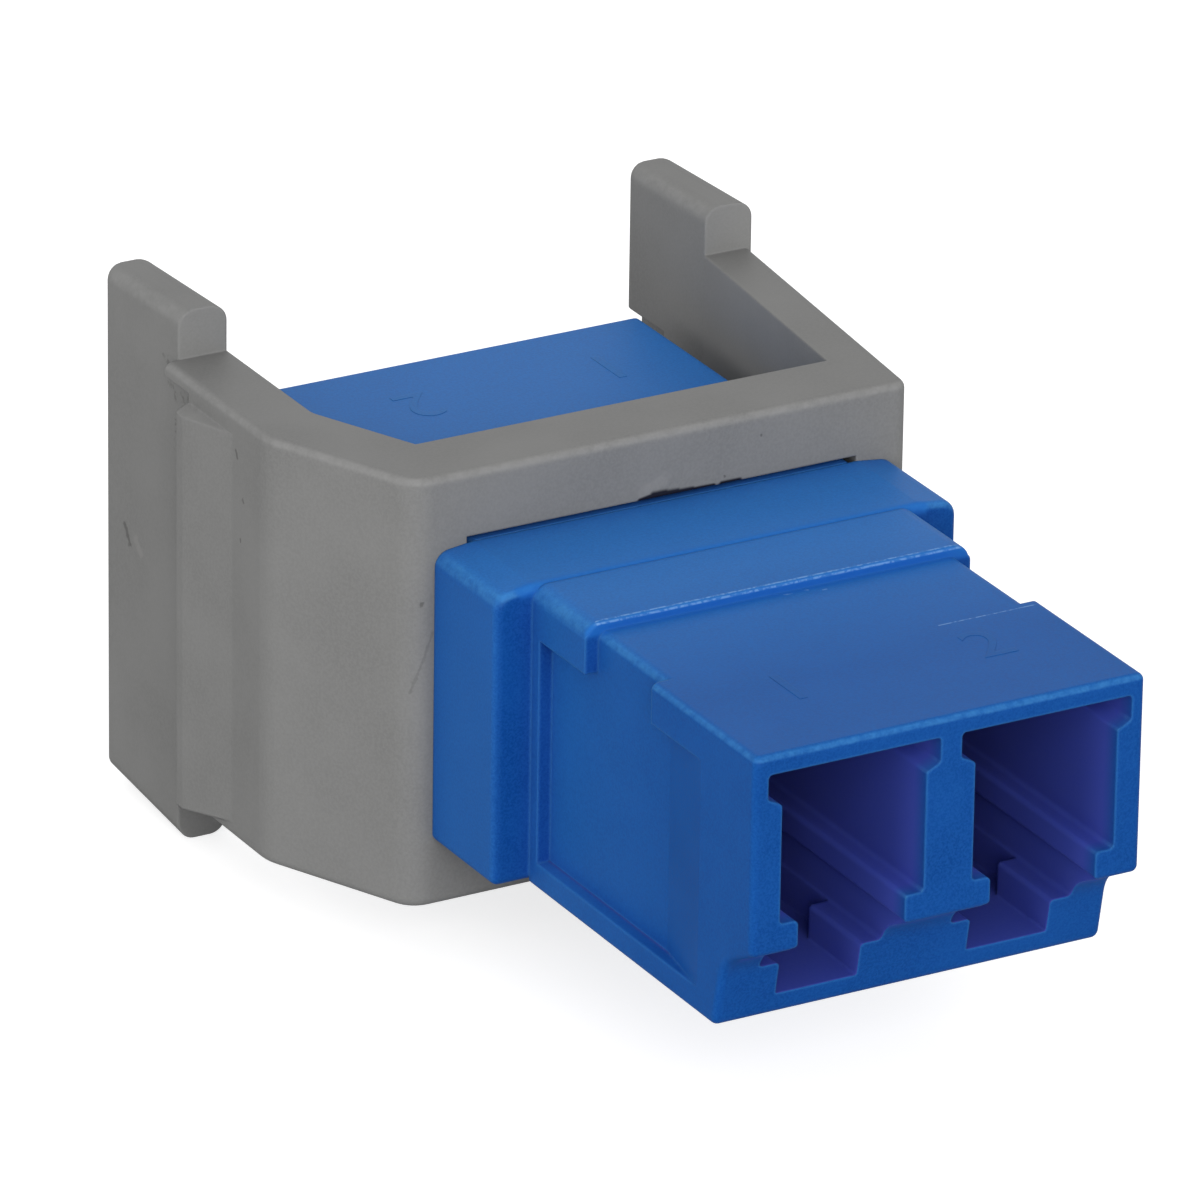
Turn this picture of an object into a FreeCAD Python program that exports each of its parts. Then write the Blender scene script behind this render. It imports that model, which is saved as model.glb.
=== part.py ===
import FreeCAD, Part
import math
import os

# Duplex fibre adapter held in a one-piece snap-in panel bracket, in millimetres.
# While modelling, X runs across the two ports, Y runs from the near mouth to the far one,
# and Z = 0 is the top of the housing. The finished pieces move to the bottom centre at the end.

# Ports: shape of one mouth, which both ends of the adapter share
PORT_PITCH = 6.25        # between the two fibre axes
PORT_W = 4.67            # room for the plug body
PORT_H = 4.66            # ceiling to the top of the guide rails
CROWN_W = 5.58           # wider strip under the ceiling
CROWN_H = 0.88
CROWN_DEPTH = 2.80       # the strip narrows to the body's width behind this
CROWN_SLOPE = 0.22       # height of the slanted step below the wide strip
ROOF_T = 0.58            # wall over the ports
RAIL_GAP = 3.48          # between the guide rails of one port
RAIL_T = 0.85
PORT_ROUND = 0.14        # all corners of a port, seen from the front

# Latch side of a port, below the rails
LATCH_SLOT_H = 1.24      # room for the latch shoulders under the rails
LATCH_SLOT_W = 4.00
LATCH_W = 2.65           # channel for the latch arm
CATCH_END = 4.60         # the arm's channel ends here, and the shoulders drop in behind
CATCH_W = 3.90
ARM_DEPTH = 1.05         # channel for the latch arm, below the latch slot
FLOOR_T = 0.70

# Housing outside
SIDE_WALL_T = 0.435      # beside the wide strip of a port
NOSE_LENGTH = 12.75      # near mouth to the flange
REAR_LENGTH = 12.75      # flange to the far mouth
WEB_T = 0.75             # wall behind the far ports, which the near ones match in depth
LIP_SETBACK = 1.60       # the lower front starts this far behind the mouth
LIP_FALL = 0.80          # the underside of the mouth falls this much on its way there
LIP_ROUND = 1.25
CHIN_LEAN = 0.40         # the lower front leans back this much on its way down
CHIN_ROUND = 0.32
SIDE_RECESS = 0.43       # side pockets
POCKET_START = 3.00
POCKET_RAMP = 2.45
LEDGE_H = 0.85           # strip along the bottom of a side pocket
BROW_H = 1.24            # strip along the top of a side pocket
BROW_LENGTH = 5.85
BEAD_LENGTH = 0.45       # between the side pocket and the flange
CAP_LENGTH = 3.10        # raised roof beside the flange
CAP_RISE = 0.30          # the far end's whole roof lies this high
CAP_ROUND = 0.55
CAP_FRONT_ROUND = 0.12
EDGE_ROUND = 0.30
MOUTH_ROUND = 0.22       # outer edges of the two ends

# Flange of the near housing
FLANGE_RISE = 1.30       # beyond the side of the housing
FLANGE_T = 3.66
FLANGE_SLOPE = 0.16      # the ears fall this much to their sides
FLANGE_ROUND = 0.50
FLANGE_SHIFT = 0.12      # to the right of the ports' middle
FLANGE_FOOT = 0.13       # its underside lies this much over the housing's
FLANGE_FRONT_ROUND = 0.25

# Ceramic alignment sleeves and the barrels that hold them
FERRULE_D = 1.25
SLEEVE_T = 0.175
SLEEVE_LENGTH = 6.80
SLEEVE_SLIT = 0.25
SLEEVE_CLEARANCE = 0.05  # on the radius
SLEEVE_END_GAP = 0.10
BARREL_WALL = 0.36
THROAT_LENGTH = 0.60     # tapered lip in front of the sleeve
THROAT_CLEARANCE = 0.05  # on the radius, less than the wall of the sleeve
LEAD_IN = 0.25           # the lip opens this much to its mouth, on the radius

# Snap barbs that hold the housing in the bracket's window
BARB_RISE = 0.42
BARB_LENGTH = 1.60
BARB_H = 4.00
BARB_GAP = 0.06          # behind the window wall

# Bracket: front wall and window
LINTEL_H = 2.03          # wall over the window
SILL_H = 1.80            # wall under the window
JAMB_W = 1.735           # wall on each side of the window
FRONT_T = 2.45
WINDOW_SIDE_CLEARANCE = 0.14
WINDOW_END_CLEARANCE = 0.17
FRONT_LEFT_ROUND = 1.00
FRONT_RIGHT_ROUND = 0.45
RIM_ROUND = 0.28

# Bracket: side walls
STOP_BACK = 11.23        # front wall's face to the stop faces of the hooks
LEFT_STEP_OUT = 2.225    # the left wall stands this much further out than the front wall
LEFT_FACET = 4.90        # length of the slanted stretch behind the front wall
LEFT_INNER_FACET = 3.45
LEFT_INNER_LEDGE = 0.36  # front wall that shows inside, between the window and the left wall
FACET_ROUND = 1.60
RIGHT_SPLAY = 1.13       # the right wall leans out this much on its way back

# Bracket: wings with their hooks
WING_T = 1.60            # both side walls end flush with the wings' inner faces
LIP_OVERHANG = 0.45      # the left wall's face over the wing's
WING_LENGTH = 4.95
HOOK_RISE = 1.52         # over the wall
HOOK_DROP = 1.95         # under the wall
WING_TOP_FALL = 0.20     # the wing's ends come closer together at its rear
WING_BOTTOM_FALL = 0.50
WING_REAR_ROUND = 0.40
WING_EDGE_ROUND = 0.55
RELIEF_T = 0.70          # hollow inside the wing's rear
RELIEF_LENGTH = 2.60
RELIEF_H = 6.90

# Bracket: ridges that snap over the panel's edge
PANEL_GAP = 1.54
RIDGE_RISE = 0.90        # over the wing's outer face
RIDGE_CREST = 0.45
RIDGE_RAMP = 2.30
LEFT_RIDGE_TOP_GAP = 0.90
RIGHT_RIDGE_TOP_GAP = 1.60
RIDGE_BOTTOM_GAP = 0.08
RIDGE_TOP_SLOPE = 0.45   # the ends rise this much from the crest to the wing's face
RIDGE_BOTTOM_SLOPE = 0.83
LIP_H = 0.40             # the groove beside the ridge stops under this lip

# Places that follow from the sizes above
NOSE_W = PORT_PITCH + CROWN_W + 2 * SIDE_WALL_T
HOUSING_H = ROOF_T + PORT_H + RAIL_T + LATCH_SLOT_H + ARM_DEPTH + FLOOR_T
PORT_DEPTH = REAR_LENGTH - WEB_T
SPLIT_Y = NOSE_LENGTH + FLANGE_T
FAR_Y = SPLIT_Y + REAR_LENGTH
MID_Y = FAR_Y / 2
RAIL_TOP_Z = -(ROOF_T + PORT_H)
RAIL_BOTTOM_Z = RAIL_TOP_Z - RAIL_T
SLOT_BOTTOM_Z = RAIL_BOTTOM_Z - LATCH_SLOT_H
AXIS_Z = -(ROOF_T + PORT_H / 2)
SLEEVE_R = FERRULE_D / 2 + SLEEVE_T
SEAT_R = SLEEVE_R + SLEEVE_CLEARANCE
BARREL_R = SEAT_R + BARREL_WALL
WINDOW_HALF = NOSE_W / 2 + WINDOW_SIDE_CLEARANCE
WINDOW_TOP = CAP_RISE + WINDOW_END_CLEARANCE
WINDOW_BOTTOM = -(HOUSING_H + WINDOW_END_CLEARANCE)
WALL_TOP = WINDOW_TOP + LINTEL_H
WALL_BOTTOM = WINDOW_BOTTOM - SILL_H
FRONT_HALF = WINDOW_HALF + JAMB_W
LEFT_OUT = FRONT_HALF + LEFT_STEP_OUT
LEFT_WING_OUT = LEFT_OUT - LIP_OVERHANG
LEFT_IN = LEFT_WING_OUT - WING_T
STOP_Y = SPLIT_Y + STOP_BACK
WING_REAR_Y = STOP_Y + WING_LENGTH
RIDGE_REAR_Y = STOP_Y - PANEL_GAP
RIGHT_WING_OUT = FRONT_HALF + RIGHT_SPLAY


def vec(x, y, z):
    return FreeCAD.Vector(x, y, z)


def box(x0, x1, y0, y1, z0, z1):
    """Block between two corners."""
    return Part.makeBox(x1 - x0, y1 - y0, z1 - z0, vec(x0, y0, z0))


def rounded_wire(outline, place):
    """Closed wire through (u, v, radius) corners; place turns (u, v) into a point in space."""
    edges = []
    corners = []
    count = len(outline)
    for i, (u, v, radius) in enumerate(outline):
        here = FreeCAD.Vector(u, v, 0)
        before = FreeCAD.Vector(*outline[i - 1][:2], 0) - here
        after = FreeCAD.Vector(*outline[(i + 1) % count][:2], 0) - here
        if radius <= 0:
            corners.append((here, here, here))
            continue
        before.normalize()
        after.normalize()
        half = before.getAngle(after) / 2
        reach = radius / math.tan(half)
        bisector = before + after
        bisector.normalize()
        mid = here + bisector * (radius / math.sin(half) - radius)
        corners.append((here + before * reach, mid, here + after * reach))
    for i, (start, mid, end) in enumerate(corners):
        following = corners[(i + 1) % count][0]
        if (end - start).Length > 1e-6:
            points = [place(p.x, p.y) for p in (start, mid, end)]
            edges.append(Part.Arc(*points).toShape())
        if (following - end).Length > 1e-6:
            edges.append(Part.LineSegment(place(end.x, end.y), place(following.x, following.y)).toShape())
    return Part.Wire(edges)


def prism_z(outline, z0, z1):
    """Plan outline of (x, y, radius) corners, raised from z0 to z1."""
    wire = rounded_wire(outline, lambda x, y: vec(x, y, z0))
    return Part.Face(wire).extrude(vec(0, 0, z1 - z0))


def prism_y(outline, y0, y1):
    """Front outline of (x, z, radius) corners, run from y0 to y1."""
    wire = rounded_wire(outline, lambda x, z: vec(x, y0, z))
    return Part.Face(wire).extrude(vec(0, y1 - y0, 0))


def prism_x(outline, x0, x1):
    """Side outline of (y, z, radius) corners, run from x0 to x1."""
    wire = rounded_wire(outline, lambda y, z: vec(x0, y, z))
    return Part.Face(wire).extrude(vec(x1 - x0, 0, 0))


def edges_where(shape, test):
    """Edges whose two ends and middle all pass the test."""
    found = []
    for edge in shape.Edges:
        middle = edge.valueAt((edge.FirstParameter + edge.LastParameter) / 2)
        points = [v.Point for v in edge.Vertexes] + [middle]
        if all(test(p) for p in points):
            found.append(edge)
    return found


def mirrored_x(shape):
    """The same shape on the other side of the centre line."""
    return shape.mirror(vec(0, 0, 0), vec(1, 0, 0))


def at(value, target):
    return abs(value - target) < 1e-4


def port_outline(top_w):
    """One port seen from the front, about its own axis in x; top_w is the width under the ceiling."""
    crown = top_w / 2
    body = PORT_W / 2
    gap = RAIL_GAP / 2
    slot = LATCH_SLOT_W / 2
    arm = LATCH_W / 2
    step_z = -(ROOF_T + CROWN_H)
    right = [(crown, -ROOF_T, PORT_ROUND)]
    if crown > body:
        right += [
            (crown, step_z + CROWN_SLOPE / 2, PORT_ROUND),
            (body, step_z - CROWN_SLOPE / 2, PORT_ROUND),
        ]
    right += [
        (body, RAIL_TOP_Z, PORT_ROUND),
        (gap, RAIL_TOP_Z, PORT_ROUND),
        (gap, RAIL_BOTTOM_Z, (slot - gap) / 2),
        (slot, RAIL_BOTTOM_Z, (slot - gap) / 2),
        (slot, SLOT_BOTTOM_Z, PORT_ROUND),
        (arm, SLOT_BOTTOM_Z, PORT_ROUND),
        (arm, -HOUSING_H + FLOOR_T, PORT_ROUND / 2),
    ]
    left = [(-x, z, r) for x, z, r in reversed(right)]
    return right + left


def port_cavity(mouth_y):
    """Room for one plug: body, guide rails, latch slot, arm channel and catch."""
    front = mouth_y - 1
    mouth = prism_y(port_outline(CROWN_W), front, CROWN_DEPTH)
    cavity = prism_y(port_outline(PORT_W), front, PORT_DEPTH)
    catch_half = CATCH_W / 2
    catch_top = SLOT_BOTTOM_Z + 2 * PORT_ROUND
    catch = box(-catch_half, catch_half, CATCH_END, PORT_DEPTH, -HOUSING_H + FLOOR_T, catch_top)
    return cavity.fuse([mouth, catch])


def nose_profile(length, roof_z):
    """Side view of one end: mouth, set-back underside and top."""
    return [
        (0, roof_z, 0),
        (0, RAIL_BOTTOM_Z, 0),
        (LIP_SETBACK, RAIL_BOTTOM_Z - LIP_FALL, LIP_ROUND),
        (LIP_SETBACK + CHIN_LEAN, -HOUSING_H, CHIN_ROUND),
        (length, -HOUSING_H, 0),
        (length, roof_z, 0),
    ]


def side_pocket(length, bead):
    """Shallow recess along one side, with its ramp at the front."""
    half = NOSE_W / 2
    floor = half - SIDE_RECESS
    ramp_end = POCKET_START + POCKET_RAMP
    rear = length - bead
    plan = [
        (half, POCKET_START, 0),
        (half + 1, POCKET_START, 0),
        (half + 1, rear, 0),
        (floor, rear, 0),
        (floor, ramp_end, 0),
    ]
    return prism_z(plan, -HOUSING_H + LEDGE_H, -BROW_H)


def nose(length, roof_z):
    """One end of the adapter with rounded edges, its mouth at y = 0, before anything is cut."""
    half = NOSE_W / 2
    body = prism_x(nose_profile(length, roof_z), -half, half)
    mouth = edges_where(body, lambda p: at(p.y, 0))
    sides = edges_where(body, lambda p: at(abs(p.x), half))
    sides = [e for e in sides if 0.01 < max(v.Point.y for v in e.Vertexes)]
    sides = [e for e in sides if min(v.Point.y for v in e.Vertexes) < length - 0.01]
    return body.makeFillet(MOUTH_ROUND, mouth + sides)


def cap(length):
    """Raised roof between the nose and the flange."""
    half = NOSE_W / 2
    front = length - CAP_LENGTH
    block = box(-half, half, front, length, -BROW_H, CAP_RISE)
    block = block.makeFillet(CAP_ROUND, edges_where(block, lambda p: at(p.z, CAP_RISE) and at(abs(p.x), half)))
    rim = edges_where(block, lambda p: at(p.y, front) and p.z > CAP_RISE - CAP_ROUND - 0.01)
    return block.makeFillet(CAP_FRONT_ROUND, rim)


def near_nose():
    """Near end with its cap; its sides are open at the top between the brow and the cap."""
    floor = NOSE_W / 2 - SIDE_RECESS
    length = NOSE_LENGTH
    pocket = side_pocket(length, BEAD_LENGTH)
    shoulder = box(floor, NOSE_W, BROW_LENGTH, length - CAP_LENGTH, -BROW_H - 0.01, 1)
    recess = pocket.fuse(shoulder)
    body = nose(length, 0).fuse(cap(length)).cut([recess, mirrored_x(recess)]).removeSplitter()
    shoulders = edges_where(
        body,
        lambda p: at(p.z, 0) and at(abs(p.x), floor) and BROW_LENGTH - 0.1 < p.y < length,
    )
    return body.makeFillet(EDGE_ROUND, shoulders)


def barrel(tip_y, root_y):
    """Tube that stands out of the web around one sleeve, still solid inside."""
    tube = Part.makeCylinder(BARREL_R, root_y - tip_y, vec(0, tip_y, AXIS_Z), vec(0, 1, 0))
    rim = edges_where(tube, lambda p: at(p.y, tip_y))
    return tube.makeChamfer(LEAD_IN / 2, rim)


def sleeve_bore(tip_y, seat_y, end_y):
    """Tapered mouth that leads the ferrule in, and the seat of one sleeve."""
    throat_r = FERRULE_D / 2 + THROAT_CLEARANCE
    along = vec(0, 1, 0)
    mouth = Part.makeCone(throat_r + LEAD_IN, throat_r, seat_y - tip_y, vec(0, tip_y, AXIS_Z), along)
    seat = Part.makeCylinder(SEAT_R, end_y - seat_y, vec(0, seat_y, AXIS_Z), along)
    return mouth.fuse(seat)


def with_ports(body, end_y):
    """Cut both ports, then leave a barrel with its sleeve bore standing in each."""
    seat_y = MID_Y - SLEEVE_LENGTH / 2 - SLEEVE_END_GAP
    tip_y = seat_y - THROAT_LENGTH
    cavity = port_cavity(0)
    tube = barrel(tip_y, end_y)
    bore = sleeve_bore(tip_y, seat_y, end_y + 1)
    for side in (-1, 1):
        shift = vec(side * PORT_PITCH / 2, 0, 0)
        body = body.cut(cavity.translated(shift))
        body = body.fuse(tube.translated(shift))
        body = body.cut(bore.translated(shift))
    return body.removeSplitter()


def flange():
    """Collar that rests on the bracket's front wall."""
    half = NOSE_W / 2 + FLANGE_RISE
    ear = NOSE_W / 2 + 0.05
    right = [
        (ear, CAP_RISE, 0),
        (half, CAP_RISE - FLANGE_SLOPE, FLANGE_ROUND),
        (half, FLANGE_FOOT - HOUSING_H, FLANGE_ROUND / 2),
    ]
    left = [(-x, z, r) for x, z, r in reversed(right)]
    collar = prism_y(right + left, NOSE_LENGTH, SPLIT_Y)
    front = edges_where(collar, lambda p: at(p.y, NOSE_LENGTH))
    collar = collar.makeFillet(FLANGE_FRONT_ROUND, front)
    collar.translate(vec(FLANGE_SHIFT, 0, 0))
    return collar


def near_housing():
    return with_ports(near_nose().fuse(flange()), SPLIT_Y)


def snap_barb():
    """Wedge on the far housing's side that passes the window and snaps behind its wall."""
    half = NOSE_W / 2
    wall_back = REAR_LENGTH - FRONT_T - BARB_GAP
    plan = [
        (half - SIDE_RECESS, wall_back, 0),
        (half + BARB_RISE, wall_back, 0),
        (half + BARB_RISE, wall_back - BARB_LENGTH / 4, 0),
        (half, wall_back - BARB_LENGTH, 0),
        (half - SIDE_RECESS, wall_back - BARB_LENGTH, 0),
    ]
    mid_z = -HOUSING_H / 2
    return prism_z(plan, mid_z - BARB_H / 2, mid_z + BARB_H / 2)


def far_housing():
    """Far end under one flat roof, built like the near one and turned to face the other way."""
    pocket = side_pocket(REAR_LENGTH, FRONT_T + BARB_GAP + BARB_LENGTH)
    barb = snap_barb()
    body = nose(REAR_LENGTH, CAP_RISE).cut([pocket, mirrored_x(pocket)])
    body = with_ports(body.fuse([barb, mirrored_x(barb)]), REAR_LENGTH)
    turned = body.mirror(vec(0, 0, 0), vec(0, 1, 0))
    turned.translate(vec(0, FAR_Y, 0))
    return turned


def sleeve(side):
    """Split ceramic sleeve that lines up two ferrules."""
    start = vec(side * PORT_PITCH / 2, MID_Y - SLEEVE_LENGTH / 2, AXIS_Z)
    along = vec(0, 1, 0)
    tube = Part.makeCylinder(SLEEVE_R, SLEEVE_LENGTH, start, along)
    hole = Part.makeCylinder(FERRULE_D / 2, SLEEVE_LENGTH, start, along)
    slit = box(-SLEEVE_SLIT / 2, SLEEVE_SLIT / 2, -1, SLEEVE_LENGTH + 1, 0, SLEEVE_R * 2)
    slit.translate(start)
    return tube.cut([hole, slit])


def bracket_walls():
    """Front wall and both side walls, up to the hooks' stop faces."""
    inner_y = SPLIT_Y + FRONT_T
    lean = RIGHT_SPLAY / STOP_BACK
    right_inner_front = FRONT_HALF + lean * FRONT_T - WING_T
    outer = prism_z(
        [
            (-LEFT_OUT, STOP_Y, 0),
            (-LEFT_OUT, SPLIT_Y + LEFT_FACET, FACET_ROUND),
            (-FRONT_HALF, SPLIT_Y, FRONT_LEFT_ROUND),
            (FRONT_HALF, SPLIT_Y, FRONT_RIGHT_ROUND),
            (RIGHT_WING_OUT, STOP_Y, 0),
        ],
        WALL_BOTTOM,
        WALL_TOP,
    )
    rims = edges_where(
        outer,
        lambda p: (at(p.z, WALL_TOP) or at(p.z, WALL_BOTTOM)),
    )
    rims = [e for e in rims if min(v.Point.y for v in e.Vertexes) < STOP_Y - 0.01]
    outer = outer.makeFillet(RIM_ROUND, rims)
    inner = prism_z(
        [
            (-LEFT_IN, STOP_Y + 1, 0),
            (-LEFT_IN, inner_y + LEFT_INNER_FACET, FACET_ROUND / 2),
            (-WINDOW_HALF - LEFT_INNER_LEDGE, inner_y, 0),
            (right_inner_front, inner_y, 0),
            (right_inner_front + lean * (STOP_BACK - FRONT_T + 1), STOP_Y + 1, 0),
        ],
        WALL_BOTTOM - 1,
        WALL_TOP + 1,
    )
    return outer.cut(inner)


def window():
    """Opening for the housing, a little larger than it all round."""
    return box(-WINDOW_HALF, WINDOW_HALF, SPLIT_Y - 1, SPLIT_Y + FRONT_T + 1, WINDOW_BOTTOM, WINDOW_TOP)


def wing(x0, x1):
    """Plate at the end of a side wall; its front face stops the panel above and below the wall."""
    top = WALL_TOP + HOOK_RISE
    bottom = WALL_BOTTOM - HOOK_DROP
    plate = prism_x(
        [
            (STOP_Y, top, 0),
            (WING_REAR_Y, top - WING_TOP_FALL, WING_REAR_ROUND),
            (WING_REAR_Y, bottom + WING_BOTTOM_FALL, WING_REAR_ROUND / 2),
            (STOP_Y, bottom, 0),
        ],
        x0,
        x1,
    )
    rims = edges_where(plate, lambda p: at(p.x, x0) or at(p.x, x1))
    rims = [e for e in rims if max(v.Point.y for v in e.Vertexes) > STOP_Y + 0.01]
    return plate.makeFillet(WING_EDGE_ROUND, rims)


def wing_relief(inner_x, outward):
    """Hollow in a wing's inner face, open to the rear."""
    mid_z = (WALL_TOP + WALL_BOTTOM) / 2
    x0, x1 = sorted((inner_x - outward, inner_x + outward * RELIEF_T))
    return box(
        x0,
        x1,
        WING_REAR_Y - RELIEF_LENGTH,
        WING_REAR_Y + 1,
        mid_z - RELIEF_H / 2,
        mid_z + RELIEF_H / 2,
    )


def ridge(face_x, wall_x, top_gap):
    """Snap ridge on the right: steep to the rear, ramped to the front. face_x is the wing's face."""
    crest = face_x + RIDGE_RISE
    crest_front = RIDGE_REAR_Y - RIDGE_CREST
    front = crest_front - RIDGE_RAMP
    top = WALL_TOP - top_gap
    bottom = WALL_BOTTOM + RIDGE_BOTTOM_GAP
    plan = [
        (face_x - 0.8, RIDGE_REAR_Y, 0),
        (crest, RIDGE_REAR_Y, 0.12),
        (crest, crest_front, 0.30),
        (wall_x, front, 0),
        (face_x - 0.8, front, 0),
    ]
    body = prism_z(plan, bottom, top + RIDGE_TOP_SLOPE)
    slopes = []
    for crest_z, rise, beyond in (
        (top, RIDGE_TOP_SLOPE, top + 1),
        (bottom, RIDGE_BOTTOM_SLOPE, bottom - 1),
    ):
        outline = [
            (face_x, crest_z + rise, 0),
            (crest + 0.01, crest_z, 0),
            (crest + 0.01, beyond, 0),
            (face_x, beyond, 0),
        ]
        slopes.append(prism_y(outline, front - 1, RIDGE_REAR_Y + 1))
    return body.cut(slopes)


def panel_groove():
    """Cuts the left wall back to the wing's face beside the ridge, under the lip."""
    return box(
        -LEFT_OUT - 1,
        -LEFT_WING_OUT,
        RIDGE_REAR_Y,
        STOP_Y,
        WALL_BOTTOM - 1,
        WALL_TOP - LIP_H,
    )


def bracket():
    left_inner = -LEFT_WING_OUT + WING_T
    right_inner = RIGHT_WING_OUT - WING_T
    body = bracket_walls().cut([window(), panel_groove()])
    wall_front_x = FRONT_HALF + RIGHT_SPLAY * (1 - (PANEL_GAP + RIDGE_CREST + RIDGE_RAMP) / STOP_BACK)
    left_ridge = mirrored_x(ridge(LEFT_WING_OUT, LEFT_OUT, LEFT_RIDGE_TOP_GAP))
    right_ridge = ridge(RIGHT_WING_OUT, wall_front_x, RIGHT_RIDGE_TOP_GAP)
    left_wing = wing(-LEFT_WING_OUT, left_inner).cut(wing_relief(left_inner, -1))
    right_wing = wing(right_inner, RIGHT_WING_OUT).cut(wing_relief(right_inner, 1))
    return body.fuse([left_wing, right_wing, left_ridge, right_ridge]).removeSplitter()


def main():
    pieces = {
        "bracket": bracket(),
        "near_housing": near_housing(),
        "far_housing": far_housing(),
        "sleeve_left": sleeve(-1),
        "sleeve_right": sleeve(1),
    }
    middle_x = (RIGHT_WING_OUT - LEFT_WING_OUT) / 2
    lowest_z = WALL_BOTTOM - HOOK_DROP
    to_base = vec(-middle_x, -WING_REAR_Y / 2, -lowest_z)
    os.makedirs("parts", exist_ok=True)
    for name, shape in pieces.items():
        shape.translate(to_base)
        solids = shape.Solids
        print(name, "solids", len(solids), "valid", shape.isValid(), "volume", round(shape.Volume, 2))
        print("   ", shape.BoundBox)
        (solids[0] if len(solids) == 1 else shape).exportStep(os.path.join("parts", name + ".step"))


main()
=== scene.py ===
# %% [markdown]
# # A duplex fibre adapter in its panel bracket
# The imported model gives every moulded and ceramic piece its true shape, in metres.
# This script dresses those pieces: it gives each one the finish of its real material, adds
# the faint raised port numbers, and sets up a plain studio with one camera.

# %% Load the model
import math

import bmesh
import bpy
from mathutils import Matrix, Vector


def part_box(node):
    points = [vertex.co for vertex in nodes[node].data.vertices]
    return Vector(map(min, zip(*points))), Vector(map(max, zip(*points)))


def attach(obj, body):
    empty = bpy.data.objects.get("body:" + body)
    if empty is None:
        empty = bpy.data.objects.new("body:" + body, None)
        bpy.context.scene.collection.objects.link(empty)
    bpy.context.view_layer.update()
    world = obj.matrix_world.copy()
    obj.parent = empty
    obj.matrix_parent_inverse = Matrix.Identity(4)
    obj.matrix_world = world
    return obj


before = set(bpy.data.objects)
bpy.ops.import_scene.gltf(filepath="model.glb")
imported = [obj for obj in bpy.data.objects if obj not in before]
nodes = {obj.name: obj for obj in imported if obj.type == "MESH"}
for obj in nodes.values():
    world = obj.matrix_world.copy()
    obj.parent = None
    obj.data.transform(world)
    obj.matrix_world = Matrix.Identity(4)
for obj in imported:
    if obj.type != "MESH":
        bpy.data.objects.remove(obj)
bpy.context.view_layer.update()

MM = 0.001
for name in sorted(nodes):
    low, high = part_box(name)
    print("node", name, "size in mm", [round(v / MM, 2) for v in high - low])


# %% [markdown]
# ## Colours and nodes
# Colours are written as the sRGB hex values one would read off a picture, while Blender's
# shaders work in linear light, so one function turns the first into the second. A second
# function adds a shader node together with its settings and its links. With these two a
# material reads from top to bottom like a recipe.

# %% Colour and node helpers
def linear(hex_colour):
    """Linear RGBA from a hex string such as '#2A60AC'."""
    values = [int(hex_colour[i:i + 2], 16) / 255 for i in (1, 3, 5)]
    channels = [v / 12.92 if v <= 0.04045 else ((v + 0.055) / 1.055) ** 2.4 for v in values]
    return (*channels, 1.0)


def add_node(material, kind, inputs=None, **settings):
    """Adds a node, sets its options, and fills its inputs with values or other nodes' outputs."""
    new = material.node_tree.nodes.new("ShaderNode" + kind)
    for name, value in settings.items():
        setattr(new, name, value)
    for name, value in (inputs or {}).items():
        if isinstance(value, bpy.types.NodeSocket):
            material.node_tree.links.new(value, new.inputs[name])
        else:
            new.inputs[name].default_value = value
    return new


def new_material(name):
    """An empty node material with its output node."""
    material = bpy.data.materials.new(name)
    material.use_nodes = True
    material.node_tree.nodes.clear()
    return material, add_node(material, "OutputMaterial")


# %% [markdown]
# ## Masks and coats
# A mask is a number from 0 to 1 at each point of a surface. A finish is built up in coats,
# as a painter would: each coat has a colour, a mask that says where it lies, and a strength.
# The masks here come from soft patches of noise, from the place of a point, and from the
# way that the skin faces. All of them are read in the piece's own axes, so nothing moves
# with the camera. Multiplying two masks leaves what lies in both.

# %% Masks and coats
def combine(material, operation, *masks):
    """Joins masks or plain values by one Math operation, from the first to the last."""
    total = masks[0]
    for mask in masks[1:]:
        total = add_node(material, "Math", {0: total, 1: mask}, operation=operation).outputs[0]
    return total


def coat(material, under, over, mask, strength):
    """One colour laid over another, as much as the mask says times the strength."""
    amount = combine(material, "MULTIPLY", mask, strength)
    mix = add_node(material, "Mix", {0: amount, 6: under, 7: over}, data_type="RGBA")
    return mix.outputs[2]


def patches(material, coords, size_mm, band, span=(0.0, 1.0)):
    """Soft patches about size_mm across: a band of noise values stretched over the span."""
    noise = add_node(material, "TexNoise", {"Vector": coords, "Scale": 1 / (size_mm * MM)})
    stretch = {
        "Value": noise.outputs["Fac"],
        "From Min": band[0],
        "From Max": band[1],
        "To Min": span[0],
        "To Max": span[1],
    }
    return add_node(material, "MapRange", stretch).outputs[0]


def placed(material, coords, axis, start_mm, end_mm):
    """0 up to start_mm along an axis of the piece, changing to 1 at end_mm."""
    place = add_node(material, "SeparateXYZ", {0: coords}).outputs[axis]
    limits = {"Value": place, "From Min": start_mm * MM, "From Max": end_mm * MM}
    return add_node(material, "MapRange", limits).outputs[0]


def object_normal(material, axis):
    """One component of the surface normal, in the piece's own axes."""
    normal = add_node(material, "TexCoord").outputs["Normal"]
    return add_node(material, "SeparateXYZ", {0: normal}).outputs[axis]


def facing(material, axis, start, end):
    """0 where the normal's component is start, changing to 1 where it is end."""
    limits = {"Value": object_normal(material, axis), "From Min": start, "From Max": end}
    return add_node(material, "MapRange", limits).outputs[0]


# %% [markdown]
# ## Marks on a surface
# A scuff or a speck of dirt lies at one place, so its mask is worked out from the distance
# to a short line between two points on the surface. The distance is bent by noise, which
# makes the mark ragged.

# %% Stroke masks
STROKE_CORE = 0.35  # the share of a stroke's width that is fully marked
UNBENT = 1.0        # the warp of a stroke whose sides are left straight


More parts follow.
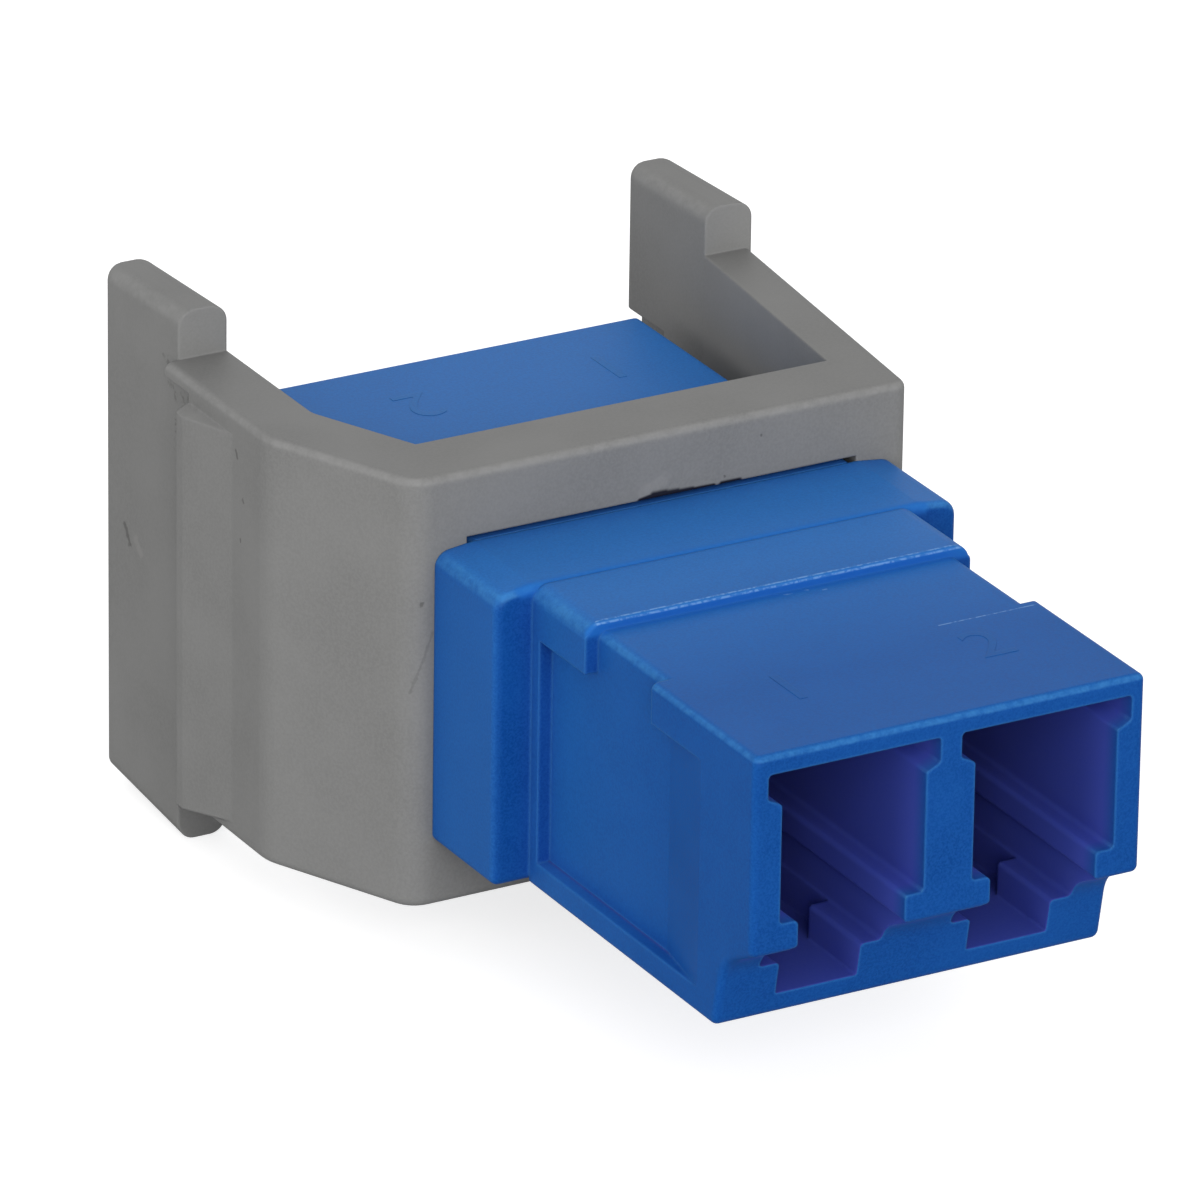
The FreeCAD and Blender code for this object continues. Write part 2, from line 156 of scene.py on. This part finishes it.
def stroke_mask(material, coords, warp, start, end, width):
    """1 on the line from start to end, falling to 0 at width away from it; all in mm."""
    first = Vector(start) * MM
    along = Vector(end) * MM - first
    share = along / along.length_squared
    rel = add_node(material, "VectorMath", {0: coords, 1: first}, operation="SUBTRACT").outputs[0]
    dot = add_node(material, "VectorMath", {0: rel, 1: share}, operation="DOT_PRODUCT")
    t = add_node(material, "Clamp", {"Value": dot.outputs["Value"]}).outputs[0]
    foot = add_node(material, "VectorMath", {0: along, "Scale": t}, operation="SCALE").outputs[0]
    gap = add_node(material, "VectorMath", {0: rel, 1: foot}, operation="DISTANCE")
    bent = combine(material, "MULTIPLY", gap.outputs["Value"], warp)
    fall = add_node(
        material,
        "MapRange",
        {"Value": bent, "From Min": width * MM, "From Max": width * MM * STROKE_CORE},
        interpolation_type="SMOOTHSTEP",
    )
    return fall.outputs[0]


def marks_mask(material, coords, warp, marks):
    """All the strokes of a list in one mask."""
    strokes = [stroke_mask(material, coords, warp, *mark) for mark in marks]
    return combine(material, "MAXIMUM", *strokes)


# %% [markdown]
# ## Grain, edges and recesses
# Both mouldings share these effects. The mould was spark eroded, so the skin has a fine
# grain, which bumps the surface and breaks up its gloss. It is drawn just under a tenth of
# a millimetre, about as fine as the picture can show, and a real one may be finer. The
# Bevel node rounds the shading of edges by the small radius that every mould leaves, and
# where that rounded normal leaves the true one there is an edge, which is painted lighter
# as a painted highlight. The skin that turns over between a roof and a wall is found by its
# normal and is also painted lighter, as a painted highlight. Ambient Occlusion finds the
# recesses, which are painted darker as painted shade.

# %% Shared masks
EDGE_REACH_MM = 0.16
EDGE_COSINES = (0.995, 0.80)       # of the rounded to the true normal: no edge, full edge
OPEN_SHARES = (0.95, 0.25)         # of open sky: an open face, the depth of a recess
WALL_TO_EDGE = (0.15, 0.45)        # upward part of the normal, as a wall turns over
ROOF_TO_EDGE = (0.97, 0.80)        # the same, as a roof turns over
ROOF_EDGE_PATCH_MM = 0.30
BEVEL_SAMPLES = 6
RECESS_SAMPLES = 8


def edge_mask(material):
    """1 along outer and inner edges, 0 on flat faces."""
    reach = {"Radius": EDGE_REACH_MM * MM}
    rounded = add_node(material, "Bevel", reach, samples=BEVEL_SAMPLES).outputs[0]
    true = add_node(material, "NewGeometry").outputs["Normal"]
    dot = add_node(material, "VectorMath", {0: rounded, 1: true}, operation="DOT_PRODUCT")
    flat, edge = EDGE_COSINES
    limits = {"Value": dot.outputs["Value"], "From Min": flat, "From Max": edge}
    return add_node(material, "MapRange", limits).outputs[0]


def recess_mask(material, reach_mm):
    """1 deep in a recess, 0 on an open face."""
    reach = {"Distance": reach_mm * MM}
    sky = add_node(material, "AmbientOcclusion", reach, samples=RECESS_SAMPLES).outputs["AO"]
    face, depth = OPEN_SHARES
    limits = {"Value": sky, "From Min": face, "From Max": depth}
    return add_node(material, "MapRange", limits).outputs[0]


def roof_edge_mask(material, coords):
    """1 where the skin turns over between a roof and a wall, broken up by noise."""
    from_wall = facing(material, "Z", *WALL_TO_EDGE)
    from_roof = facing(material, "Z", *ROOF_TO_EDGE)
    broken = patches(material, coords, ROOF_EDGE_PATCH_MM, band=(0.30, 0.65), span=(0.35, 1.0))
    return combine(material, "MULTIPLY", from_wall, from_roof, broken)


# %% The skin of a moulding
MOULD_RADIUS_MM = 0.11
GRAIN_DETAIL = 3.0
FLECK_BAND = (0.38, 0.62)          # the grain's values between no fleck and a full one
GLOSS_BAND = (0.3, 0.7)            # the grain's values between the glossiest and the dullest
BROAD_BAND = (0.35, 0.65)          # the same for the broad, faint change of tone
MOULDING_IOR = 1.55                # typical of both plastics


def eroded_grain(material, coords, size_mm, roughness):
    """The grain of a spark-eroded skin: its raw noise, and its flecks from 0 to 1."""
    settings = {
        "Vector": coords,
        "Scale": 1 / (size_mm * MM),
        "Detail": GRAIN_DETAIL,
        "Roughness": roughness,
    }
    grain = add_node(material, "TexNoise", settings).outputs["Fac"]
    limits = {"Value": grain, "From Min": FLECK_BAND[0], "From Max": FLECK_BAND[1]}
    return grain, add_node(material, "MapRange", limits).outputs[0]


def moulded_skin(material, output, colour, grain, radius_mm, bump, gloss, look):
    """Closes a moulding's material: soft edges, a grain of (strength, mm), and its gloss."""
    edges = {"Radius": radius_mm * MM}
    soft = add_node(material, "Bevel", edges, samples=BEVEL_SAMPLES).outputs[0]
    strength, height_mm = bump
    rise = {"Height": grain, "Strength": strength, "Distance": height_mm * MM, "Normal": soft}
    normal = add_node(material, "Bump", rise).outputs[0]
    spread = {
        "Value": grain,
        "From Min": GLOSS_BAND[0],
        "From Max": GLOSS_BAND[1],
        "To Min": gloss[0],
        "To Max": gloss[1],
    }
    roughness = add_node(material, "MapRange", spread).outputs[0]
    skin = {"Base Color": colour, "Roughness": roughness, "IOR": MOULDING_IOR, "Normal": normal}
    shader = add_node(material, "BsdfPrincipled", {**skin, **look})
    material.node_tree.links.new(shader.outputs[0], output.inputs["Surface"])


# %% [markdown]
# ## Grey bracket
# The bracket is moulded PC/ABS in a mid grey. Its skin is matt, with a broad soft gloss and
# hardly any change of tone. Its rounded rims and the front faces of the upper hooks are
# painted lighter, as painted highlights, and its recesses are painted darker, as painted
# shade. The real one has a few scars: a dent with a pale smear on the left wing, specks in
# the groove beside the ridge, and a thin scratch beside the flange. The corner under the
# left hook is painted with darker specks, and along the upper edge of the window a ragged
# line of painted shade stands for its nicks. All of these are painted here and change no shape.

# %% Marks on the bracket, as start, end and width in mm
DARK_MARKS = [
    ((-9.68, 14.75, 8.95), (-9.68, 14.45, 8.45), 0.13),
    ((-7.59, 0.18, 11.63), (-7.60, 0.18, 11.58), 0.08),
    ((-10.13, 6.85, 14.40), (-10.13, 6.75, 14.20), 0.10),
    ((-10.13, 6.40, 13.00), (-10.13, 6.36, 12.94), 0.07),
    ((-10.13, 6.55, 11.70), (-10.13, 6.55, 11.62), 0.06),
    ((3.58, 0.11, 14.75), (3.58, 0.11, 14.72), 0.05),
    ((2.36, 0.11, 13.70), (2.38, 0.11, 13.68), 0.05),
]
SCRATCH = [
    ((-7.27, 0.12, 10.64), (-7.56, 0.16, 9.79), 0.06),
    ((-7.56, 0.16, 9.79), (-7.88, 0.33, 8.80), 0.06),
]
# Darker specks in the corner under the left hook, as start, end and width in mm.
CORNER_SPECKS = [
    ((-9.68, 12.05, 15.20), (-9.68, 11.60, 14.60), 0.35),
    ((-9.68, 11.45, 14.70), (-9.68, 10.30, 14.35), 0.40),
    ((-9.68, 11.50, 14.40), (-9.68, 11.50, 12.60), 0.16),
]
PALE_MARKS = [
    ((-9.68, 14.10, 8.75), (-9.68, 13.75, 8.40), 0.22),
    ((0.30, 0.11, 13.95), (-0.20, 0.11, 13.80), 0.32),
]
# Painted shade along the ragged upper edge of the window, standing for its nicks.
WINDOW_EDGE_SHADE = [
    ((-0.45, 0.11, 13.46), (-0.10, 0.11, 13.52), 0.12),
    ((0.00, 0.11, 13.52), (0.40, 0.11, 13.52), 0.20),
    ((0.40, 0.11, 13.50), (0.80, 0.11, 13.49), 0.18),
    ((0.80, 0.11, 13.48), (1.30, 0.11, 13.47), 0.15),
    ((1.30, 0.11, 13.47), (2.00, 0.11, 13.46), 0.11),
    ((2.28, 0.11, 13.46), (2.87, 0.11, 13.46), 0.13),
]


# %% Grey PC/ABS, spark-eroded
FRONT_FACE = (-0.6, -0.9)          # the normal along Y, as a face turns to the front
HOOK_FACE_Z_MM = (15.45, 15.60)    # above this only the hooks are left


def grey_moulding():
    """Grey PC/ABS from a spark-eroded mould: matt, even, with painted highlights on rims and hook fronts,
    painted shade in recesses, and a few scars.
    """
    material, output = new_material("grey_pc_abs_spark_eroded")
    coords = add_node(material, "TexCoord").outputs["Object"]
    grain, flecks = eroded_grain(material, coords, size_mm=0.09, roughness=0.65)
    tone = patches(material, coords, size_mm=3.5, band=BROAD_BAND)
    colour = coat(material, linear("#747473"), linear("#7A7A79"), tone, strength=1.0)
    colour = coat(material, colour, linear("#838382"), flecks, strength=0.45)
    # Painted highlight: rounded edges are painted lighter.
    colour = coat(material, colour, linear("#979796"), edge_mask(material), strength=0.45)
    # Painted highlight: the rounded skin between roof and wall is painted lighter, found by its normal.
    turnover_highlight = roof_edge_mask(material, coords)
    colour = coat(material, colour, linear("#9A9A99"), turnover_highlight, strength=0.30)
    # Painted shade: recesses found by Ambient Occlusion are painted darker.
    recess = recess_mask(material, reach_mm=0.8)
    colour = coat(material, colour, linear("#5A5A5A"), recess, strength=0.20)
    # Painted highlight: the front faces of the upper hooks are painted lighter.
    front = facing(material, "Y", *FRONT_FACE)
    hook_front_highlight = combine(material, "MULTIPLY", front, placed(material, coords, "Z", *HOOK_FACE_Z_MM))
    colour = coat(material, colour, linear("#949493"), hook_front_highlight, strength=0.22)
    warp = patches(material, coords, size_mm=0.18, band=(0.3, 0.7), span=(0.55, 1.7))
    pale = marks_mask(material, coords, warp, PALE_MARKS)
    colour = coat(material, colour, linear("#A3A19E"), pale, strength=0.15)
    # The corner under the left hook is painted with darker specks.
    specks = patches(material, coords, size_mm=0.16, band=(0.48, 0.62))
    corner_specks = combine(material, "MULTIPLY", marks_mask(material, coords, warp, CORNER_SPECKS), specks)
    colour = coat(material, colour, linear("#4A4947"), corner_specks, strength=0.45)
    scratch = marks_mask(material, coords, warp, SCRATCH)
    colour = coat(material, colour, linear("#4A4947"), scratch, strength=0.28)
    dark = marks_mask(material, coords, warp, DARK_MARKS)
    colour = coat(material, colour, linear("#3E3D3B"), dark, strength=0.55)
    # Painted shade: a ragged near-black line along the upper edge of the window stands for its nicks.
    window_edge_shade = marks_mask(material, coords, UNBENT, WINDOW_EDGE_SHADE)
    colour = coat(material, colour, linear("#15141F"), window_edge_shade, strength=1.0)
    look = {"Specular IOR Level": 0.20}
    moulded_skin(
        material, output, colour, grain, MOULD_RADIUS_MM, bump=(0.35, 0.012), gloss=(0.50, 0.62), look=look
    )
    return material


# %% [markdown]
# ## Blue housings
# The housings are moulded PBT, a waxy plastic that light enters a little, which softens
# thin edges. Roofs are painted paler than walls, and more so towards the rear, as a painted
# sheen. The ports look indigo, because the light in them has met the blue walls several
# times. They are found by their place, and the painted indigo shade darkens from the near
# mouth inwards. The crests of the cap carry a broken painted highlight. Along the joint of
# the flange and the step of the cap, painted light covers their shade with a blue near the
# roof's own.

# %% Places on the housings, in mm
# Painted highlights along the crests of the cap, as start, end and width in mm.
CREST_HIGHLIGHTS = [
    ((-6.3, -6.53, 13.30), (6.9, -6.53, 13.30), 0.05),
    ((-6.3, -6.61, 13.23), (6.9, -6.61, 13.23), 0.05),
    ((3.2, -10.70, 13.00), (6.4, -10.70, 13.00), 0.04),
    ((0.40, -6.80, 13.00), (0.62, -6.80, 13.00), 0.05),
    ((1.08, -6.80, 13.00), (1.16, -6.80, 13.00), 0.05),
    ((1.56, -7.00, 13.00), (1.66, -7.00, 13.00), 0.05),
]
# Strokes of painted light over the shade of the flange's joint and the cap's step.
FLANGE_JOINT = ((-6.3, -3.42, 13.18), (6.9, -3.42, 13.18), 0.34)
CAP_STEP = ((-6.3, -6.66, 13.09), (6.9, -6.66, 13.09), 0.30)
# Axis, low end, high end, and the length over which the mask fades at both ends
PORT_LIMITS_MM = (("X", -5.72, 6.36, 0.15), ("Y", -16.32, 12.86, 0.70), ("Z", 3.95, 12.95, 0.15))
PORT_STEP_MM = 0.4                 # from a port's wall into its hollow
PORT_WALLS = (0.80, 0.45)          # size of the normal along Y: a face to the front, a wall
PORT_DARKENING_Y_MM = (-15.5, -9.5)
# The painted sheen, paler on roofs and towards the rear:
SHEEN_Y_MM = (-12, -5)
SIDE_SHEEN = 0.6                   # how much a side counts, against 1 for a roof
SHEEN_STARTS = 0.3                 # the upward part of the normal where the painted sheen begins
SCATTER_MM = (0.10, 0.16, 0.40)    # how far red, green and blue light travel inside


# %% Ports and painted sheen
def port_mask(material, coords):
    """1 on walls from which one step out of the skin ends inside the box of the ports."""
    normal = add_node(material, "TexCoord").outputs["Normal"]
    step = {0: normal, "Scale": PORT_STEP_MM * MM}
    step = add_node(material, "VectorMath", step, operation="SCALE").outputs[0]
    out = add_node(material, "VectorMath", {0: coords, 1: step}, operation="ADD").outputs[0]
    lengthwise = object_normal(material, "Y")
    square = add_node(material, "Math", {0: lengthwise}, operation="ABSOLUTE").outputs[0]
    face, wall = PORT_WALLS
    limits = {"Value": square, "From Min": face, "From Max": wall}
    masks = [add_node(material, "MapRange", limits).outputs[0]]
    for axis, low, high, fade in PORT_LIMITS_MM:
        masks.append(placed(material, out, axis, low, low + fade))
        masks.append(placed(material, out, axis, high, high - fade))
    return combine(material, "MULTIPLY", *masks)


def painted_sheen(material, coords, flecks, colour):
    """Painted sheen: the colour made paler, most on roofs, less on the sides, more towards the rear."""
    across = object_normal(material, "X")
    side = add_node(material, "Math", {0: across}, operation="ABSOLUTE").outputs[0]
    side = combine(material, "MULTIPLY", side, SIDE_SHEEN)
    up = combine(material, "MAXIMUM", object_normal(material, "Z"), side)
    rear = placed(material, coords, "Y", *SHEEN_Y_MM)
    shown = add_node(material, "MapRange", {"Value": up, "From Min": SHEEN_STARTS})
    depth = add_node(material, "MapRange", {"Value": rear, "To Min": 0.32, "To Max": 0.66})
    broken = add_node(material, "MapRange", {"Value": flecks, "To Min": 0.85, "To Max": 1.10})
    parts = [node.outputs[0] for node in (shown, depth, broken)]
    amount = combine(material, "MULTIPLY", *parts)
    pale = coat(material, linear("#2270C2"), linear("#367CC8"), rear, strength=1.0)
    return coat(material, colour, pale, amount, strength=1.0)


# %% Blue PBT, spark-eroded
def blue_moulding(name, highlight_strength, radius_mm):
    """Blue PBT from a spark-eroded mould: waxy, saturated, with painted sheen and highlights, and painted
    indigo shade in its ports.
    """
    material, output = new_material(name)
    coords = add_node(material, "TexCoord").outputs["Object"]
    grain, flecks = eroded_grain(material, coords, size_mm=0.075, roughness=0.7)
    tone = patches(material, coords, size_mm=2.6, band=BROAD_BAND)
    colour = coat(material, linear("#064087"), linear("#0A468F"), tone, strength=1.0)
    colour = coat(material, colour, linear("#1C5CA8"), flecks, strength=0.40)
    # Painted sheen: roofs and, less so, sides are painted paler, more towards the rear.
    colour = painted_sheen(material, coords, flecks, colour)
    # Painted highlight: rounded edges are painted lighter.
    colour = coat(material, colour, linear("#3F87C9"), edge_mask(material), highlight_strength)
    # Painted highlight: the rounded skin between roof and wall is painted lighter, found by its normal.
    turnover_highlight = roof_edge_mask(material, coords)
    colour = coat(material, colour, linear("#4C96D0"), turnover_highlight, highlight_strength)
    # Painted light: the joint of the flange and the step of the cap are painted near the roof's blue, over
    # their shade.
    joint_and_step_light = marks_mask(material, coords, UNBENT, [FLANGE_JOINT, CAP_STEP])
    colour = coat(material, colour, linear("#1F67B8"), joint_and_step_light, strength=0.75)
    # Painted highlight: a broken pale line along the crests of the cap.
    highlight_lines = marks_mask(material, coords, UNBENT, CREST_HIGHLIGHTS)
    broken = patches(material, coords, size_mm=0.14, band=(0.42, 0.58), span=(0.15, 1.0))
    crest_highlight = combine(material, "MULTIPLY", highlight_lines, broken)
    colour = coat(material, colour, linear("#8DB8E4"), crest_highlight, strength=0.45)
    # Painted shade: recesses found by Ambient Occlusion are painted a darker indigo blue.
    recess = recess_mask(material, reach_mm=1.3)
    colour = coat(material, colour, linear("#263F9E"), recess, strength=0.32)
    # Painted shade: the walls of the ports are painted indigo, darker from the near mouth inwards.
    depth = placed(material, coords, "Y", *PORT_DARKENING_Y_MM)
    indigo = coat(material, linear("#4452B2"), linear("#333272"), depth, strength=0.60)
    colour = coat(material, colour, indigo, port_mask(material, coords), strength=0.95)
    look = {
        "Specular IOR Level": 0.06,
        "Subsurface Weight": 0.12,
        "Subsurface Radius": [r * MM for r in SCATTER_MM],
        "Subsurface Scale": 1.0,
    }
    moulded_skin(
        material, output, colour, grain, radius_mm, bump=(0.30, 0.010), gloss=(0.40, 0.54), look=look
    )
    return material


# %% [markdown]
# ## Ceramic sleeves
# The split sleeves are ground zirconia, a dense white ceramic with a polished skin. Only
# fine grinding rings change its gloss, so a wave along the sleeve drives the roughness.
# Real rings are much finer: these are drawn coarse enough to show.

# %% White zirconia
RING_UNIT_MM = 0.4                 # the wave makes one ring in each 0.31 of this
ZIRCONIA_IOR = 2.1


def white_ceramic():
    """Ground and polished zirconia."""
    material, output = new_material("zirconia_polished")
    coords = add_node(material, "TexCoord").outputs["Object"]
    settings = {
        "Vector": coords,
        "Scale": 1 / (RING_UNIT_MM * MM),
        "Distortion": 0.6,
        "Detail": 1.0,
    }
    rings = add_node(material, "TexWave", settings, bands_direction="Y").outputs["Fac"]
    cloud = patches(material, coords, size_mm=0.8, band=(0.3, 0.7))
    colour = coat(material, linear("#EDEBE4"), linear("#F4F2EC"), cloud, strength=1.0)
    gloss = add_node(material, "MapRange", {"Value": rings, "To Min": 0.12, "To Max": 0.22})
    skin = {"Base Color": colour, "Roughness": gloss.outputs[0], "IOR": ZIRCONIA_IOR}
    shader = add_node(material, "BsdfPrincipled", skin)
    material.node_tree.links.new(shader.outputs[0], output.inputs["Surface"])
    return material


# %% [markdown]
# ## Finishes on the pieces
# Both housings come from one kind of plastic, so they share a material. The numbers have
# the same blue without its painted highlights on rims and crests, and with smaller rounded
# edges, so they stay faint.

# %% Finish the imported pieces
NUMBER_RADIUS_MM = 0.02
blue = blue_moulding("blue_pbt_moulded", highlight_strength=0.35, radius_mm=MOULD_RADIUS_MM)
faint_blue = blue_moulding("blue_pbt_numbers", highlight_strength=0.0, radius_mm=NUMBER_RADIUS_MM)
FINISHES = {
    "bracket": grey_moulding(),
    "near_housing": blue,
    "far_housing": blue,
}
ceramic = white_ceramic()
for name, node in nodes.items():
    node.data.materials.clear()
    node.data.materials.append(FINISHES.get(name, ceramic))
    print("finish of", name, "is", node.data.materials[0].name)


# %% [markdown]
# ## Raised port numbers
# Each port is told apart by a faint raised character on the roof. A plain number does that
# job here, a hundredth of a millimetre high, so that it shows only as a faint outline. The
# numbers start as text, which is turned into a mesh and laid on the roof. Those at the far
# end are turned round, to be read from there.

# %% Numbers on the roofs
NUMBER_H_MM = 1.9
NUMBER_RISE_MM = 0.010
TEXT_SIZE_PER_HEIGHT = 1.35        # the font's size over the height of its numerals
CURVE_STEPS = 6
WELD_MM = 0.002
CAP_RISE_MM = 0.30                 # the far roof over the near one
FAR_ROOF_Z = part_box("far_housing")[1].z
NEAR_ROOF_Z = FAR_ROOF_Z - CAP_RISE_MM * MM
NUMBERS = [
    ("near_number_1", "1", -2.75, -12.55, NEAR_ROOF_Z, 0.0),
    ("near_number_2", "2", 3.75, -12.50, NEAR_ROOF_Z, 0.0),
    ("far_number_2", "2", -2.50, 9.80, FAR_ROOF_Z, math.pi),
    ("far_number_1", "1", 3.90, 9.80, FAR_ROOF_Z, math.pi),
]


def raised_number(name, text, x_mm, y_mm, roof_z, turn):
    """A numeral on the roof, its middle at (x, y), standing a little out of it."""
    curve = bpy.data.curves.new(name, "FONT")
    curve.body = text
    curve.align_x = "CENTER"
    curve.align_y = "CENTER"
    curve.size = NUMBER_H_MM * MM * TEXT_SIZE_PER_HEIGHT
    curve.extrude = NUMBER_RISE_MM * MM
    curve.resolution_u = CURVE_STEPS
    source = bpy.data.objects.new(name + "_text", curve)
    bpy.context.scene.collection.objects.link(source)
    bpy.context.view_layer.update()
    evaluated = source.evaluated_get(bpy.context.evaluated_depsgraph_get())
    mesh = bpy.data.meshes.new_from_object(evaluated)
    bpy.data.objects.remove(source)
    mesh.name = name
    place = Matrix.Translation((x_mm * MM, y_mm * MM, roof_z)) @ Matrix.Rotation(turn, 4, "Z")
    mesh.transform(place)
    form = bmesh.new()
    form.from_mesh(mesh)
    bmesh.ops.remove_doubles(form, verts=form.verts, dist=WELD_MM * MM)
    bmesh.ops.recalc_face_normals(form, faces=form.faces)
    form.to_mesh(mesh)
    form.free()
    piece = bpy.data.objects.new(name, mesh)
    bpy.context.scene.collection.objects.link(piece)
    mesh.materials.append(faint_blue)
    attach(piece, "root")
    print("number", name, "faces", len(mesh.polygons))


for row in NUMBERS:
    raised_number(*row)


# %% [markdown]
# ## Floor
# A plain pale sheet stands for the studio table. It adds a little light of its own for
# camera rays only, so it shows white without brightening the object, and it keeps the
# object's soft shadow.

# %% Pale floor
FLOOR_HALF_M = 1.5
FLOOR_GLOW = 0.72


def pale_sheet():
    """Matt pale card that shows white to the camera."""
    material, output = new_material("pale_card")
    path = add_node(material, "LightPath")
    card = add_node(material, "BsdfDiffuse", {"Color": linear("#CBCBCB")})
    glow = add_node(material, "Emission", {"Color": linear("#FFFFFF"), "Strength": FLOOR_GLOW})
    lit = add_node(material, "AddShader", {0: card.outputs[0], 1: glow.outputs[0]})
    seen = add_node(
        material,
        "MixShader",
        {0: path.outputs["Is Camera Ray"], 1: card.outputs[0], 2: lit.outputs[0]},
    )
    material.node_tree.links.new(seen.outputs[0], output.inputs["Surface"])
    return material


def studio_floor():
    """One square face under the object."""
    form = bmesh.new()
    bmesh.ops.create_grid(form, x_segments=1, y_segments=1, size=FLOOR_HALF_M)
    mesh = bpy.data.meshes.new("floor")
    form.to_mesh(mesh)
    form.free()
    mesh.materials.append(pale_sheet())
    floor = bpy.data.objects.new("floor", mesh)
    bpy.context.scene.collection.objects.link(floor)
    print("floor", 2 * FLOOR_HALF_M, "m wide")


studio_floor()


# %% [markdown]
# ## Light
# The picture's light is broad and soft. The world gives an even base, a large lamp in front
# and one on the left open up the upright faces, and a weak one behind lays a faint sheen on
# the roofs. Camera rays that miss everything see white.

# %% World and lamps
WORLD_STRENGTH = 0.60
WHITE = (1.0, 1.0, 1.0, 1.0)


def studio_world():
    """Even light from all round, with plain white for the camera."""
    world = bpy.data.worlds.new("studio")
    bpy.context.scene.world = world
    world.use_nodes = True
    tree = world.node_tree
    tree.nodes.clear()
    output = tree.nodes.new("ShaderNodeOutputWorld")
    path = tree.nodes.new("ShaderNodeLightPath")
    base = tree.nodes.new("ShaderNodeBackground")
    base.inputs["Strength"].default_value = WORLD_STRENGTH
    base.inputs["Color"].default_value = WHITE
    white = tree.nodes.new("ShaderNodeBackground")
    white.inputs["Color"].default_value = WHITE
    mix = tree.nodes.new("ShaderNodeMixShader")
    tree.links.new(path.outputs["Is Camera Ray"], mix.inputs[0])
    tree.links.new(base.outputs[0], mix.inputs[1])
    tree.links.new(white.outputs[0], mix.inputs[2])
    tree.links.new(mix.outputs[0], output.inputs["Surface"])
    print("world strength", WORLD_STRENGTH)


def soft_lamp(name, place, target, size, power):
    """A square lamp that faces the target; lengths in metres, power in watts."""
    data = bpy.data.lights.new(name, "AREA")
    data.shape = "SQUARE"
    data.size = size
    data.energy = power
    lamp = bpy.data.objects.new(name, data)
    lamp.location = place
    lamp.rotation_euler = (Vector(target) - Vector(place)).to_track_quat("-Z", "Y").to_euler()
    bpy.context.scene.collection.objects.link(lamp)
    print("lamp", name, power, "W")


studio_world()
soft_lamp("left_side", place=(-0.55, -0.05, 0.12), target=(0, 0, 0.005), size=0.35, power=0.85)
soft_lamp("front", place=(-0.15, -0.55, 0.22), target=(0, 0, 0.008), size=0.45, power=2.50)
soft_lamp("rear", place=(0.25, 0.50, 0.28), target=(0, 0, 0.008), size=0.50, power=0.45)


# %% [markdown]
# ## Camera
# The picture was taken from far away with a long lens, from the left and a little above.
# The camera is placed by its compass angle, its height angle, a small roll and its distance
# from the point that it is aimed at.

# %% Camera at the picture's angle
CAMERA_AZIMUTH = math.radians(-29.605)
CAMERA_ELEVATION = math.radians(23.613)
CAMERA_ROLL = math.radians(0.853)
CAMERA_DISTANCE_MM = 335.02
AIM_MM = Vector((-7.6306, -10.2693, 15.8069))
LENS_MM = 360
SENSOR_MM = 36
CLIP_START_M = 0.01


def photo_camera():
    """The camera at the picture's angle, as the scene's own camera."""
    back = Vector((
        math.sin(CAMERA_AZIMUTH) * math.cos(CAMERA_ELEVATION),
        -math.cos(CAMERA_AZIMUTH) * math.cos(CAMERA_ELEVATION),
        math.sin(CAMERA_ELEVATION),
    ))
    level = Vector((math.cos(CAMERA_AZIMUTH), math.sin(CAMERA_AZIMUTH), 0))
    upright = back.cross(level)
    right = level * math.cos(CAMERA_ROLL) + upright * math.sin(CAMERA_ROLL)
    up = upright * math.cos(CAMERA_ROLL) - level * math.sin(CAMERA_ROLL)
    data = bpy.data.cameras.new("photo_camera")
    data.sensor_width = SENSOR_MM
    data.lens = LENS_MM
    data.clip_start = CLIP_START_M
    camera = bpy.data.objects.new("photo_camera", data)
    turn = Matrix((right, up, back)).transposed().to_4x4()
    camera.matrix_world = Matrix.Translation((AIM_MM + back * CAMERA_DISTANCE_MM) * MM) @ turn
    bpy.context.scene.collection.objects.link(camera)
    bpy.context.scene.camera = camera
    print("camera at", [round(c, 4) for c in camera.matrix_world.translation])


photo_camera()
bpy.context.scene.view_settings.view_transform = "Standard"
